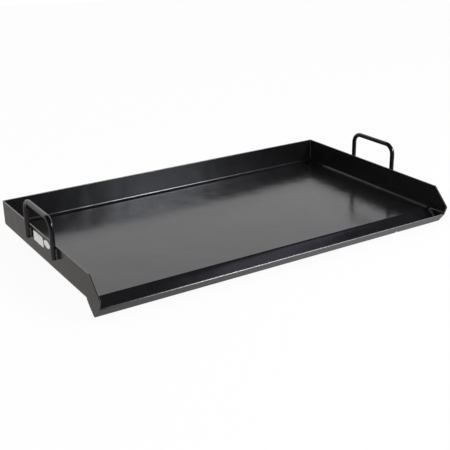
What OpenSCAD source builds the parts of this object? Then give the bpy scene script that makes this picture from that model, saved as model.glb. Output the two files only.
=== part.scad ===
// Camp griddle plate: a folded steel tray with a V-shaped grease trough along its front edge,
// bent-bar handles welded to both ends, and channel rails and heat spreaders under its floor.
// +X is right, +Y is back and +Z is up. The origin lies on the surface that the rails stand on,
// under the middle of the plate.

/* [Tray] */
// Outer width across the side walls
tray_w = 813; // [650:1:1000]
// Depth from the start of the trough's fold to the outside of the back wall
floor_d = 424; // [360:1:560]
// Height of the walls above the cooking surface
wall_h = 54; // [46:1:80]
// Thickness of the tray's and the trough's sheet
sheet_t = 3; // [2:0.5:5]
// Inside radius of the folds at the foot of the walls
fold_r = 6; // [3:0.5:10]

/* [Trough] */
// Outside width of the back slope, from the floor's fold to the point of the V
slope_w = 36; // [30:1:48]
// Angle of the back slope below the level
slope_pitch = 38.5; // [32:0.5:45]
// Outside width of the front lip, from the point of the V to the top edge
lip_w = 29; // [26:1:42]
// Inside radius of the trough's folds
trough_r = 3; // [1.5:0.5:5]
// Diameter of the drain hole
drain_d = 12; // [8:0.5:16]
// Distance of the drain hole from the right end of the tray
drain_inset = 122; // [60:1:300]

/* [Wall fronts] */
// Height of the wall's nose above the cooking surface
nose_h = 16; // [10:1:28]
// Distance that the nose stands in front of the lip's top edge
nose_reach = 7.5; // [3:0.5:12]
// Distance that the wall top runs forward from the floor's front edge, to the cut down to the nose
top_reach = 16.5; // [8:0.5:28]
// Radius of the rounded corners at both ends of that cut
nose_r = 5; // [2:0.5:8]
// Height of the front end of the seam between wall and trough cap, above the lip's top edge
seam_rise = 5; // [3:0.5:8]
// Distance down the slope at which the trough cap's lower edge turns up to the floor
cap_start = 12; // [8:1:18]
// Length of the trough cap's corner that closes the end of the side fold
cap_lap = 4; // [2:0.5:8]

/* [Handles] */
// Diameter of the handle bar
bar_d = 10; // [8:0.5:13]
// Distance between the axes of a handle's two legs
handle_span = 132; // [115:1:180]
// Height of the grip's axis above the wall top
handle_rise = 52.5; // [42:0.5:75]
// Radius of the bar's bends, on its axis
handle_bend = 21; // [15:0.5:28]
// Length of each leg that lies against the wall
leg_lap = 26; // [18:1:34]
// Distance from the outside of the back wall to the middle of the handle
handle_back = 228; // [140:1:300]

/* [Rails] */
// Height of the trough's bottom above the surface that the rails stand on
trough_lift = 5; // [2:0.5:20]
// Width of a rail
rail_w = 30; // [20:1:50]
// Sheet thickness of the rails
rail_t = 2.5; // [2:0.5:4]
// Inside radius of the folds of the rails and the heat spreaders
channel_r = 2; // [1:0.5:4]
// Distance of a rail's end from the outside of the side wall
rail_end = 60; // [45:1:120]
// Distance of a rail's middle from the floor's front fold, and from the outside of the back wall
rail_inset = 48; // [32:1:70]

/* [Heat spreaders] */
// Width of a heat spreader, left to right
spreader_w = 220; // [150:1:260]
// Distance between a heat spreader's end and the rail next to it
spreader_setback = 33; // [20:1:60]
// Height of a heat spreader below the floor
spreader_h = 14; // [10:0.5:18]
// Sheet thickness of the heat spreaders
spreader_t = 2; // [1.5:0.5:3]
// Distance of a heat spreader's outer edge from the outside of the side wall
spreader_inset = 100; // [60:1:110]

/* [Welds] */
// Leg of the fillet welds
bead = 3.5; // [2:0.5:5]
// Radius of the half-round seam beads
seam_r = 1.2; // [0.8:0.1:2]
// Length of one stitch weld
stitch = 30; // [20:1:50]
// Stitch welds along each edge of a rail
rail_stitches = 5; // [3:1:7]
// Gap between a handle's leg and the wall at the root of the weld
root_gap = 0.2; // [0.1:0.1:0.5]
// Distance that the back and side walls stop short of each other at the corners, which the weld fills
corner_gap = 0.5; // [0.2:0.1:1]

/* [Labels] */
// Thickness of the blank labels
label_t = 0.3; // [0.2:0.1:0.6]
// Width of the square-ended label
label_w = 50; // [30:1:56]
// Height of the square-ended label
label_h = 20; // [12:1:24]
// Size of its clipped corner
label_cut = 5; // [2:0.5:8]
// Distance from the wall top to the middle of the square-ended label
label_drop = 16; // [14:0.5:28]
// Width of the oval label
oval_w = 30; // [20:1:40]
// Height of the oval label
oval_h = 15; // [10:1:20]
// Distance from the wall top to the middle of the oval label
oval_drop = 12.5; // [11:0.5:28]
// Distance of the gap between the two labels in front of the handle's middle
label_gap_y = 3.5; // [0:0.5:10]
// Width of the gap between the two labels
label_gap = 4; // [2:0.5:8]

/* [Hidden] */
$fn = 64;

// Colours
satin_black = [0.10, 0.10, 0.11];
bar_black = [0.14, 0.14, 0.15];
weld_black = [0.17, 0.16, 0.16];
under_black = [0.13, 0.13, 0.13];
label_white = [0.93, 0.93, 0.92];

// Trough section: x runs forward from the floor's front edge, y up from the cooking surface
lip_pitch = 90 - slope_pitch;
trough_outer_r = trough_r + sheet_t;
slope_flat = slope_w - trough_r * tan(slope_pitch / 2) - trough_outer_r;
lip_flat = lip_w - trough_outer_r;
slope_dir = [cos(slope_pitch), -sin(slope_pitch)];
lip_dir = [cos(lip_pitch), sin(lip_pitch)];
lip_normal = [-sin(lip_pitch), cos(lip_pitch)];
crease_under = [trough_r * tan(slope_pitch / 2), -sheet_t];
crease_over = [trough_outer_r * tan(slope_pitch / 2), 0];
vee_point = crease_under + slope_w * slope_dir;
vee_inside = vee_point + sheet_t * (lip_dir + lip_normal);
lip_top = vee_point + lip_w * lip_dir;
lip_inside = lip_top + sheet_t * lip_normal;
slope_start = crease_over + crease_over[0] * slope_dir;
lip_start = vee_inside + trough_r * lip_dir;

// Front outline of the side walls, in the same section
nose = [lip_top[0] + nose_reach, nose_h];
nose_cut = [top_reach, wall_h];
seam_back = [0, fold_r];
seam_foot = [cap_lap, 0];
seam_head = lip_top + (nose - lip_top) * seam_rise / (nose_h - lip_top[1]);
// The cap's lower edge leaves the slope's underside here, and runs straight up to the floor
cap_turn = crease_under + cap_start * slope_dir;

// Heights
trough_drop = -min([for (p = arc_points(lip_top, vee_point, crease_under, trough_outer_r)) p[1]]);
rail_h = trough_drop - sheet_t + trough_lift;
cook_z = rail_h + sheet_t;
top_z = cook_z + wall_h;

// Plan
half_w = tray_w / 2;
inner_half_w = half_w - sheet_t;
front_reach = max([for (p = arc_points(seam_head, nose, nose_cut, nose_r)) p[0]]);
overall_d = floor_d + front_reach;
back_y = overall_d / 2;
fold_y = back_y - floor_d;
front_rail_y = fold_y + rail_inset;
rear_rail_y = back_y - rail_inset;
rail_len = tray_w - 2 * rail_end;
spreader_y = (front_rail_y + rear_rail_y) / 2;
spreader_d = rear_rail_y - front_rail_y - rail_w - 2 * spreader_setback;
spreader_x = half_w - spreader_inset - spreader_w / 2;
handle_y = back_y - handle_back;
bar_r = bar_d / 2;
bar_x = half_w + root_gap + bar_r;
leg_foot_z = top_z - leg_lap;
corner_w = sheet_t + corner_gap;
// Bead ends stay this far inside the part of the leg that they follow
bead_end = sheet_t;
// Angle from a leg's widest point down to where its weld ends on the bar
bead_wrap = 20;
// Depth of cutting shapes that run past a face
past = 1;

// Round a corner b between a and c: points of the arc of radius r that touches both sides
function unit(v) = v / norm(v);
function arc_points(a, b, c, r, steps = 10) =
  let (
    to_a = unit(a - b),
    to_c = unit(c - b),
    half = acos(to_a * to_c) / 2,
    middle = b + unit(to_a + to_c) * r / sin(half),
    first = b + to_a * r / tan(half) - middle,
    last = b + to_c * r / tan(half) - middle,
    start = atan2(first[1], first[0]),
    sweep = atan2(first[0] * last[1] - first[1] * last[0], first * last)
  )
  [for (i = [0 : steps]) middle + r * [cos(start + sweep * i / steps), sin(start + sweep * i / steps)]];

function ellipse_points(w, h, steps = 48) =
  [for (i = [0 : steps - 1]) [w / 2 * cos(360 * i / steps), h / 2 * sin(360 * i / steps)]];

// A solid of constant section along X: the section's x runs back and its y runs up
module along_x(length) rotate([90, 0, 90]) linear_extrude(length, center = true) children();

// A solid of constant section along Y: the section's x runs right and its y runs up
module along_y(length) rotate([90, 0, 0]) linear_extrude(length, center = true) children();

// The trough's section, turned to stand at the floor's front edge
module at_front() translate([0, fold_y, cook_z]) children();
module forward_section() mirror([1, 0]) children();

// Upright section with square top corners and bottom corners of radius r
module pan_section(w, h, r) {
  translate([-w / 2, r]) square([w, h - r]);
  translate([-w / 2 + r, 0]) square([w - 2 * r, r]);
  for (side = [-1, 1]) translate([side * (w / 2 - r), r]) circle(r);
}

// Channel section, open at the top
module channel_section(w, h, t, r) {
  difference() {
    pan_section(w, h, r + t);
    translate([0, t]) pan_section(w - 2 * t, h, r);
  }
}

// Section of the trough's sheet: the folds are the corners of its upper and lower faces
module trough_section() polygon(concat(
  [[0, -sheet_t], [0, 0]],
  arc_points([0, 0], crease_over, vee_inside, trough_outer_r),
  arc_points(crease_over, vee_inside, lip_inside, trough_r),
  [lip_inside, lip_top],
  arc_points(lip_top, vee_point, crease_under, trough_outer_r),
  arc_points(vee_point, crease_under, [0, -sheet_t], trough_r)
));

// The tray as a solid block with rounded lower edges, inset by the sheet for its hollow
module tray_block(inset, r, front) {
  intersection() {
    translate([0, (front + back_y) / 2, cook_z - sheet_t + inset])
      along_y(back_y - front + 2 * past) pan_section(tray_w - 2 * inset, wall_h + sheet_t + past, r);
    translate([0, front, cook_z - sheet_t + inset]) along_x(tray_w) {
      square([back_y - inset - front - r, wall_h + sheet_t + past]);
      translate([0, r]) square([back_y - inset - front, wall_h + sheet_t + past - r]);
      translate([back_y - inset - front - r, r]) circle(r);
    }
  }
}

module above_walls() translate([-tray_w, -overall_d, top_z]) cube([2 * tray_w, 2 * overall_d, wall_h]);

// Part of a side wall in front of the floor, above the seam
module wall_front() {
  at_front() along_x(sheet_t) forward_section() polygon(concat(
    [seam_back, seam_foot, seam_head],
    arc_points(seam_head, nose, nose_cut, nose_r),
    arc_points(nose, nose_cut, [0, wall_h], nose_r),
    [[-sheet_t, wall_h], [-sheet_t, fold_r]]
  ));
}

module tray() color(satin_black) {
  difference() {
    tray_block(0, fold_r + sheet_t, fold_y);
    tray_block(sheet_t, fold_r, fold_y - past);
    above_walls();
    for (side = [-1, 1]) corner_column(side) square(corner_w);
  }
  for (side = [-1, 1]) translate([side * (half_w - sheet_t / 2), 0, 0]) wall_front();
}

// Column at a back corner, where the back and side walls stop short of each other
module corner_column(side) {
  mirror([side < 0 ? 1 : 0, 0, 0])
    translate([half_w - corner_w, back_y - corner_w, 0]) linear_extrude(top_z) children();
}

module corner_weld(side) color(weld_black) {
  intersection() {
    tray_block(0, fold_r + sheet_t, fold_y);
    corner_column(side) intersection() {
      circle(corner_w);
      square(corner_w);
    }
  }
}

module trough() color(satin_black) {
  difference() {
    at_front() along_x(2 * inner_half_w) forward_section() trough_section();
    translate([half_w - drain_inset, fold_y - vee_point[0], 0]) cylinder(h = cook_z, d = drain_d);
  }
}

module trough_cap(side) color(satin_black) {
  translate([side * (half_w - sheet_t / 2), 0, 0]) at_front() along_x(sheet_t) forward_section()
    polygon(concat(
      [seam_foot, seam_back, [0, 0], cap_turn],
      arc_points(cap_turn, vee_point, lip_top, trough_outer_r),
      [lip_top, seam_head]
    ));
}

// Bead on the inside of a trough cap, along one flat of the trough
module cap_bead(start, pitch, length) {
  translate([inner_half_w, -start[0], start[1]]) rotate([pitch, 0, 0])
    rotate([90, 0, 0]) translate([0, 0, bead_end / 2]) linear_extrude(length - bead_end)
      polygon([[0, 0], [-bead, 0], [0, bead]]);
}

// Half-round bead along the seam between wall front and trough cap
module seam_bead() {
  along = seam_head - seam_foot;
  climb = atan2(along[1], along[0]);
  intersection() {
    translate([inner_half_w, -seam_foot[0], seam_foot[1]]) rotate([-climb, 0, 0]) rotate([90, 0, 0])
      translate([0, 0, bead_end]) cylinder(h = norm(along) - 2 * bead_end, r = seam_r);
    translate([inner_half_w - 2 * seam_r, -2 * nose[0], -wall_h]) cube([2 * seam_r, 2 * nose[0], 2 * wall_h]);
  }
}

module cap_welds(side) color(weld_black) {
  mirror([side < 0 ? 1 : 0, 0, 0]) at_front() {
    cap_bead(slope_start, slope_pitch, slope_flat);
    cap_bead(lip_start, -lip_pitch, lip_flat);
    seam_bead();
  }
}

// Bead under the joint of floor and trough
module floor_weld() color(weld_black) {
  difference() {
    translate([0, fold_y, rail_h]) along_x(tray_w - 2 * (fold_r + sheet_t)) intersection() {
      circle(bead / 2);
      translate([-bead, -bead]) square([2 * bead, bead]);
    }
    at_front() along_x(tray_w) forward_section() trough_section();
  }
}

// Bent bar, set out from the middle of its grip: the grip, two bends and two legs that lap the wall
module handle(side) color(bar_black) {
  straight = handle_span / 2 - handle_bend;
  leg = handle_rise + leg_lap;
  translate([side * bar_x, handle_y, top_z + handle_rise]) {
    rotate([90, 0, 0]) cylinder(h = 2 * straight, r = bar_r, center = true);
    for (end = [-1, 1]) {
      translate([0, end * handle_span / 2, -leg]) cylinder(h = leg - handle_bend, r = bar_r);
      translate([0, end * straight, -handle_bend]) rotate([90, 0, end * 90])
        rotate_extrude(angle = 90) translate([handle_bend, 0]) circle(bar_r);
    }
  }
}

// Section of the fillet weld on one side of a leg: x runs out from the wall, y along it
module leg_bead_section() {
  centre = [root_gap + bar_r, 0];
  difference() {
    polygon([[0, 0], [0, bar_r + bead / 2], centre + bar_r * [-sin(bead_wrap), cos(bead_wrap)], centre]);
    translate(centre) circle(bar_r);
  }
}

module handle_welds(side) color(weld_black) {
  mirror([side < 0 ? 1 : 0, 0, 0])
    for (end = [-1, 1], face = [0, 1])
      translate([half_w, handle_y + end * handle_span / 2, leg_foot_z + bead_end])
        mirror([0, face, 0]) linear_extrude(leg_lap - 2 * bead_end) leg_bead_section();
}

module rail(y) color(under_black) {
  translate([0, y, 0]) along_x(rail_len) channel_section(rail_w, rail_h, rail_t, channel_r);
}

// Stitch welds between an upright face and the floor above it: x runs out from the face
module stitch_bead() translate([0, 0, rail_h]) along_y(stitch) polygon([[0, 0], [bead, 0], [0, -bead]]);

module rail_welds() color(weld_black) {
  step = (rail_len - stitch) / (rail_stitches - 1);
  for (y = [front_rail_y, rear_rail_y], face = [-1, 1], i = [0 : rail_stitches - 1])
    translate([-rail_len / 2 + stitch / 2 + i * step, y + face * rail_w / 2, 0])
      rotate(face * 90) stitch_bead();
}

module heat_spreader(side) color(under_black) {
  translate([side * spreader_x, spreader_y, rail_h - spreader_h])
    along_y(spreader_d) channel_section(spreader_w, spreader_h, spreader_t, channel_r);
}

module spreader_welds() color(weld_black) {
  for (side = [-1, 1], face = [-1, 1], end = [-1, 0, 1])
    translate([side * spreader_x + face * spreader_w / 2, spreader_y + end * (spreader_d - stitch) / 2, 0])
      rotate(face < 0 ? 180 : 0) stitch_bead();
}

// Blank labels on the outside of the left wall, between the handle's legs
module on_left_wall(y, drop) {
  translate([-half_w - label_t / 2, handle_y + y, top_z - drop]) along_x(label_t) children();
}

module square_label() color(label_white) {
  on_left_wall(-label_gap_y + label_gap / 2 + label_w / 2, label_drop) polygon([
    [-label_w / 2, -label_h / 2], [label_w / 2, -label_h / 2], [label_w / 2, label_h / 2],
    [-label_w / 2 + label_cut, label_h / 2], [-label_w / 2, label_h / 2 - label_cut]
  ]);
}

module oval_label() color(label_white) {
  on_left_wall(-label_gap_y - label_gap / 2 - oval_w / 2, oval_drop)
    polygon(ellipse_points(oval_w, oval_h));
}

tray();
trough();
trough_cap(-1);  // trough_cap_left
trough_cap(1);  // trough_cap_right
handle(-1);  // handle_left
handle(1);  // handle_right
handle_welds(-1);  // handle_welds_left
handle_welds(1);  // handle_welds_right
corner_weld(-1);  // corner_weld_left
corner_weld(1);  // corner_weld_right
floor_weld();
cap_welds(-1);  // cap_welds_left
cap_welds(1);  // cap_welds_right
rail(front_rail_y);  // front_rail
rail(rear_rail_y);  // rear_rail
rail_welds();
heat_spreader(-1);  // heat_spreader_left
heat_spreader(1);  // heat_spreader_right
spreader_welds();
square_label();
oval_label();
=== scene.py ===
import math

import bmesh
import bpy
import numpy as np
from bpy.props import FloatProperty, FloatVectorProperty, IntProperty, PointerProperty
from mathutils import Matrix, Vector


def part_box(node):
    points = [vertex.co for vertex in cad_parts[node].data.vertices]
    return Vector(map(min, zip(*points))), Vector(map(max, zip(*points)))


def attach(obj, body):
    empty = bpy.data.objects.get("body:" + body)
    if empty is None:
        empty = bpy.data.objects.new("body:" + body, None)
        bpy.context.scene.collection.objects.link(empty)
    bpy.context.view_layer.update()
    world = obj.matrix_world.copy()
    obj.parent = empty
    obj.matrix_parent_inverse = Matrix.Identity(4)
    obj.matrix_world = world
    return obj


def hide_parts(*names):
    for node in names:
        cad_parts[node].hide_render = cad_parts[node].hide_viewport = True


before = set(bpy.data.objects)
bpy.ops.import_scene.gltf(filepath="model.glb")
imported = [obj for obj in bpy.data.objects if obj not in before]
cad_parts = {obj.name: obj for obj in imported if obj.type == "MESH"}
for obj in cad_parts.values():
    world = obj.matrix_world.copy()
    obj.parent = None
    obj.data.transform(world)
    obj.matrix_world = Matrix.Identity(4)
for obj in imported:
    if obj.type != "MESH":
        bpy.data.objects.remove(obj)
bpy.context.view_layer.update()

bl_info = {
    "name": "Camp griddle plate",
    "version": (1, 0, 0),
    "blender": (4, 5, 0),
    "location": "View3D > Sidebar > Griddle",
    "description": "Builds the finished surfaces of a folded steel griddle plate around its packed model",
    "category": "Object",
}

BODY = "root"


def corners(node):
    """Lowest and highest corner of a node of the packed model, in metres."""
    return [np.array(corner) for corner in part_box(node)]


# Sizes of the packed model: +X is right, +Y is back and +Z is up from the surface that the rails stand on
TRAY_LOW, TRAY_HIGH = corners("tray")
TROUGH_LOW, TROUGH_HIGH = corners("trough")
CAP_LOW, CAP_HIGH = corners("trough_cap_right")
BAR_LOW, BAR_HIGH = corners("handle_right")
HALF_W = TRAY_HIGH[0]
BACK_Y = TRAY_HIGH[1]
TOP_Z = TRAY_HIGH[2]
FLOOR_UNDER = TRAY_LOW[2]
FOLD_Y = TROUGH_HIGH[1]
SHEET = CAP_HIGH[0] - CAP_LOW[0]
INNER_HALF_W = HALF_W - SHEET
COOK_Z = FLOOR_UNDER + SHEET
WALL_H = TOP_Z - COOK_Z
BAR_R = (BAR_HIGH[0] - BAR_LOW[0]) / 2
SIDES = {"left": -1, "right": 1}
RIGHT_ANGLE = math.pi / 2
FULL_TURN = 2 * math.pi
WHITE = (1.0, 1.0, 1.0, 1.0)

# Orders of x, y and z for a piece that is worked out along X: as it is, or turned to run along Y
ALONG_X = [0, 1, 2]
ALONG_Y = [1, 0, 2]

# Steps round a rounded edge, and how thin the coat is at its points, from 0 to 1: worn between the two ends
THIN_COAT = "thin_coat"
ROUND_STEPS = 4
ROUND_THIN = np.concatenate([[0.0], np.ones(ROUND_STEPS - 1), [0.0]])

# How thin the coat is over the lip's edge, before it is held to 0 and 1: worn on its top and outer rounding
LIP_THIN_INSIDE = (-3.0, 1.0)
LIP_THIN_OUTSIDE = (1.5, 0.0)

# Points and steps along the grids of the tray, trough, handles, beads, oval label and studio floor
FOLD_POINTS = 11
WALL_POINTS = 7
FRONT_POINTS = 25
DEPTH_POINTS = 25
WIDTH_POINTS = 49
CORNER_POINTS = 9
ARC_STEPS = 8
BEND_STEPS = 10
EASED_POINTS = 17
TROUGH_POINTS_LEFT = 60
TROUGH_POINTS_RIGHT = 12
DRAIN_POINTS = 13
DRAIN_RINGS = 7
BAR_SIDES = 32
BAR_BEND_STEPS = 16
LEG_POINTS = 17
GRIP_POINTS = 14
BEAD_SIDES = 14
BEAD_POINTS = 16
BEAD_KNOTS = 4
RIPPLE_POINTS = 6
SKIN_RINGS = 90
SKIN_POINTS = 15
OVAL_POINTS = 64
FLOOR_RINGS = 12
FLOOR_SIDES = 64

# Half width of the grid's block round the drain, in radii of the drain
DRAIN_BLOCK = 1.7

# Shape of a bead, in shares of its leg, its radius or the pitch of its ripples
BEAD_RADIUS = 0.65
BEAD_LIFT = 0.33
BEAD_TIP = 1.2
BEAD_BLUNT = 0.97
BEAD_DRIFT = 0.3
BEAD_SWAY = 0.03
BEAD_SWELL = 0.06
RIPPLE_MIDDLE = 0.6
PITCHES_PER_KNOT = 2

# Legs of the beads on the trough's slope and under the floor, as shares of the usual legs
SLOPE_BEAD = 1.3
FLOOR_BEAD = 1.2

# Roughness of the beads in the trough's ends, where 1 is a plain bead
TROUGH_BEAD_ROUGH = 1.9

# Starts of the random draws for the floor's bead and for the heat spreaders' stitches
FLOOR_SEED = 3
SPREADER_SEED = 7

# Sweep of the back corners' weld skin in degrees, and the part of its half wave that is left off
# at each side
SKIN_SWEEP = (-6, 96)
SKIN_START = 0.15

# Coatings: features of the rolled sheet in a metre along each axis, the clouds' share of the colour,
# the effect of the rolled grain on the gloss beside theirs, the darkest and lightest shade, and the even
# share of the wear
ROLLED = (6.0, 60.0, 60.0)
CLOUD_SHARE = 0.6
ROLLED_GLOSS = 0.6
DARKEST = 0.82
LIGHTEST = 1.2
EVEN_WEAR = 0.6
NOISE_MIDDLE = 0.5
COAT_IOR = 1.6
LABEL_IOR = 1.46
LABEL_SOILED = 0.86

# Studio floor: where its glow for glossy rays turns from painted shade to painted light along X and ends
# along Y, the share of its own light that it shows, and its innermost ring as a share of its radius
PAINTED_SHADE_X = (-0.55, 0.30)
FRONT_Y = (-0.32, -0.25)
FLOOR_GLOW = 0.94
FLOOR_MIDDLE = 0.02

# Heights where the mirrored backdrop ends and the ceiling starts, and the backdrop's edge at both sides, as
# parts of a direction of length 1
BACKDROP_TOP = (0.66, 0.80)
BACKDROP_SIDE = (0.30, 0.45)
CEILING = (0.55, 0.80)


# Properties

def length(name, description, default):
    """A property that holds a length in metres."""
    return FloatProperty(name=name, description=description, default=default, unit="LENGTH", precision=5)


def angle(name, description, degrees):
    """A property that holds an angle, given in degrees."""
    return FloatProperty(name=name, description=description, default=math.radians(degrees), subtype="ANGLE")


def colour(name, description, default):
    """A property that holds a linear colour."""
    return FloatVectorProperty(name=name, description=description, default=default, subtype="COLOR",
                               min=0.0, max=1.0, size=3)


def place(name, description, default):
    """A property that holds a place in metres."""
    return FloatVectorProperty(name=name, description=description, default=default, subtype="TRANSLATION",
                               unit="LENGTH", size=3)


def watts(name, description, default):
    """A property that holds the power of a light."""
    return FloatProperty(name=name, description=description, default=default, unit="POWER")


def amount(name, description, default):
    """A property that holds a share or a strength."""
    return FloatProperty(name=name, description=description, default=default, precision=3)


class SheetSizes(bpy.types.PropertyGroup):
    """Sizes of the folded tray."""
    fold_radius: length("Fold radius", "Inside radius of the folds at the foot of the walls", 0.006)
    edge_radius: length("Edge radius", "Rounding of the sheet's cut edges under the coating", 0.0006)
    corner_radius: length("Corner radius", "Inside radius where the back and side walls meet", 0.0006)
    back_lean: length("Back lean", "Distance that the back wall's top springs out from upright", 0.0014)


class TroughSizes(bpy.types.PropertyGroup):
    """Sizes of the grease trough and its drain."""
    slope_width: length("Slope width", "Outside width of the slope from the floor's fold to the V", 0.036)
    slope_pitch: angle("Slope pitch", "Angle of the slope below the level", 38.5)
    lip_width: length("Lip width", "Outside width of the front lip, from the V to its top edge", 0.029)
    bend_radius: length("Bend radius", "Inside radius of the trough's folds", 0.003)
    crease_run: length("Crease run", "Distance down the slope in which the floor's bend eases off", 0.012)
    lip_edge: length("Lip edge", "Rounding of the lip's top edge", 0.0013)
    lip_fade: length("Lip fade", "Distance from the left end in which the lip's edge is less worn", 0.22)
    drain_diameter: length("Drain diameter", "Diameter of the drain hole", 0.012)
    drain_inset: length("Drain inset", "Distance of the drain from the tray's right end", 0.122)


class WallFrontSizes(bpy.types.PropertyGroup):
    """Sizes of the side walls' fronts and the trough caps below them."""
    nose_height: length("Nose height", "Height of the nose above the cooking surface", 0.016)
    nose_reach: length("Nose reach", "Distance of the nose in front of the lip's top edge", 0.0075)
    top_reach: length("Top reach", "Distance that the wall top runs past the floor's front edge", 0.0165)
    nose_radius: length("Nose radius", "Radius of the corners at both ends of the sloped cut", 0.005)
    seam_rise: length("Seam rise", "Height of the seam's front end above the lip's top edge", 0.005)
    cap_start: length("Cap start", "Distance down the slope where the cap's lower edge turns up", 0.012)
    cap_lap: length("Cap lap", "Length of the cap's corner over the end of the side fold", 0.004)
    cap_edge: length("Cap edge", "Rounding of the cap's edges", 0.0002)


class HandleSizes(bpy.types.PropertyGroup):
    """Sizes of the bent-bar handles."""
    bend_radius: length("Bend radius", "Radius of the bar's bends, on its axis", 0.021)
    end_radius: length("End radius", "Rounding of the bar's cut ends", 0.0009)


class WeldSizes(bpy.types.PropertyGroup):
    """Sizes of the weld beads."""
    leg: length("Leg", "Leg of the fillet beads", 0.0035)
    seam_leg: length("Seam leg", "Leg of the small beads along seams and corners", 0.0022)
    pitch: length("Pitch", "Distance between two ripples of a bead", 0.0028)
    ripple: amount("Ripple", "Height of a ripple as a share of the bead's radius", 0.22)
    stitch: length("Stitch", "Length of one stitch weld under the floor", 0.030)
    rail_stitches: IntProperty(name="Rail stitches", description="Stitch welds along each edge of a rail",
                               default=5, min=2)
    spreader_stitches: IntProperty(name="Spreader stitches", default=3, min=2,
                                   description="Stitch welds along a heat spreader's edge")
    skin: length("Skin", "Height of the weld's skin on the outside of a back corner", 0.00012)
    skin_ripple: length("Skin ripple", "Height of the ripples in that skin", 0.00004)


class UndersideSizes(bpy.types.PropertyGroup):
    """Sizes of the rails and heat spreaders under the floor."""
    rail_sheet: length("Rail sheet", "Sheet thickness of the rails", 0.0025)
    spreader_sheet: length("Spreader sheet", "Sheet thickness of the heat spreaders", 0.002)
    fold_radius: length("Fold radius", "Inside radius of their folds", 0.002)
    edge_radius: length("Edge radius", "Rounding of their cut ends", 0.0004)


class LabelSizes(bpy.types.PropertyGroup):
    """Sizes of the blank labels."""
    clipped: length("Clipped corner", "Size of the square-ended label's clipped corner", 0.005)
    corner_radius: length("Corner radius", "Rounding of its other corners", 0.0015)
    edge_radius: length("Edge radius", "Rounding of the film's edge", 0.0001)


class Finishes(bpy.types.PropertyGroup):
    """Colours and gloss of the coatings and labels."""
    coat: colour("Coat", "Satin black coating of the sheet", (0.0080, 0.0080, 0.0084))
    bar: colour("Bar", "Coating of the handle bars", (0.0032, 0.0032, 0.0033))
    weld: colour("Weld", "Coating over the welds", (0.0050, 0.0049, 0.0048))
    under: colour("Underside", "Flat heat-proof coating under the floor", (0.0070, 0.0068, 0.0066))
    bare: colour("Bare steel", "Steel that shows where the coating is thin on an edge", (0.41, 0.405, 0.40))
    bare_roughness: amount("Bare steel roughness", "Roughness of the steel on such an edge", 0.36)
    label: colour("Label", "Face of the blank labels", (0.90, 0.90, 0.885))
    coat_roughness: amount("Coat roughness", "Roughness of the satin coating", 0.185)
    bar_roughness: amount("Bar roughness", "Roughness of the bar's coating", 0.13)
    weld_roughness: amount("Weld roughness", "Roughness of the coating over the welds", 0.20)
    under_roughness: amount("Underside roughness", "Roughness of the coating under the floor", 0.52)
    label_roughness: amount("Label roughness", "Least roughness of the label's face", 0.50)
    label_spread: amount("Label spread", "What its fibres add to that roughness", 0.10)
    fibre_depth: length("Fibre depth", "Height of its fibres", 0.00001)


class StudioSizes(bpy.types.PropertyGroup):
    """Camera, floor and light."""
    eye: place("Eye", "Place of the camera", (-0.9184, -1.4588, 0.6977))
    yaw: angle("Yaw", "Turn of the camera from +Y towards +X", 32.023)
    pitch: angle("Pitch", "Tilt of the camera below the level", 21.600)
    roll: angle("Roll", "Turn of the camera about its own axis", -0.796)
    lens: FloatProperty(name="Lens", description="Focal length on a sensor 36 mm wide", default=69.345,
                        unit="CAMERA")
    floor_radius: length("Floor radius", "Radius of the pale floor", 4.0)
    floor: colour("Floor", "Colour of the pale floor", (0.85, 0.85, 0.85))
    # Colours of the floor's glow for glossy rays: painted shade on the left, painted light on the right
    floor_left: colour("Floor on the left", "What the coating mirrors from the floor on the left",
                       (0.41, 0.395, 0.375))
    floor_right: colour("Floor on the right", "What it mirrors from the floor on the right",
                        (0.57, 0.57, 0.585))
    room: colour("Room", "What it mirrors from the room beside the backdrop", (0.10, 0.104, 0.12))
    ceiling: colour("Ceiling", "What it mirrors from overhead", (0.025, 0.025, 0.03))
    backdrop: FloatVectorProperty(name="Backdrop", description="Direction of the white backdrop's middle",
                                  default=(0.616, 0.788, 0.0), subtype="DIRECTION", size=3)
    backdrop_fall: amount("Backdrop fall", "Fall of the backdrop's top edge towards the right", 0.30)
    backdrop_colour: colour("Backdrop colour", "What the coating mirrors from the backdrop",
                            (0.98, 0.98, 1.0))
    ambient: amount("Ambient", "Strength of the light from all round", 0.78)
    key: place("Key", "Place of the bright soft light in front of the plate", (1.41, -2.33, 1.805))
    key_colour: colour("Key colour", "Colour of the bright soft light", (0.93, 0.935, 1.0))
    key_width: length("Key width", "Width of the bright soft light", 0.60)
    key_height: length("Key height", "Height of the bright soft light", 0.68)
    key_watts: watts("Key power", "Power of the bright soft light", 47.0)
    fill: place("Fill", "Place of the weaker soft light below it", (1.41, -2.72, 1.107))
    fill_colour: colour("Fill colour", "Colour of the light below", (0.87, 0.91, 1.0))
    fill_width: length("Fill width", "Width of the light below", 0.60)
    fill_height: length("Fill height", "Height of the light below", 0.77)
    fill_watts: watts("Fill power", "Power of the light below", 7.5)
    top: place("Top", "Place of the weak soft light overhead", (1.00, -0.64, 1.66))
    top_colour: colour("Top colour", "Colour of the light overhead", (0.78, 0.75, 1.0))
    top_width: length("Top width", "Width of the light overhead", 0.85)
    top_height: length("Top height", "Height of the light overhead", 0.36)
    top_watts: watts("Top power", "Power of the light overhead", 0.76)


# Curves and meshes

def unit(vector):
    """A vector of length 1 in the same direction."""
    return np.asarray(vector, float) / np.linalg.norm(vector)


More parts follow.
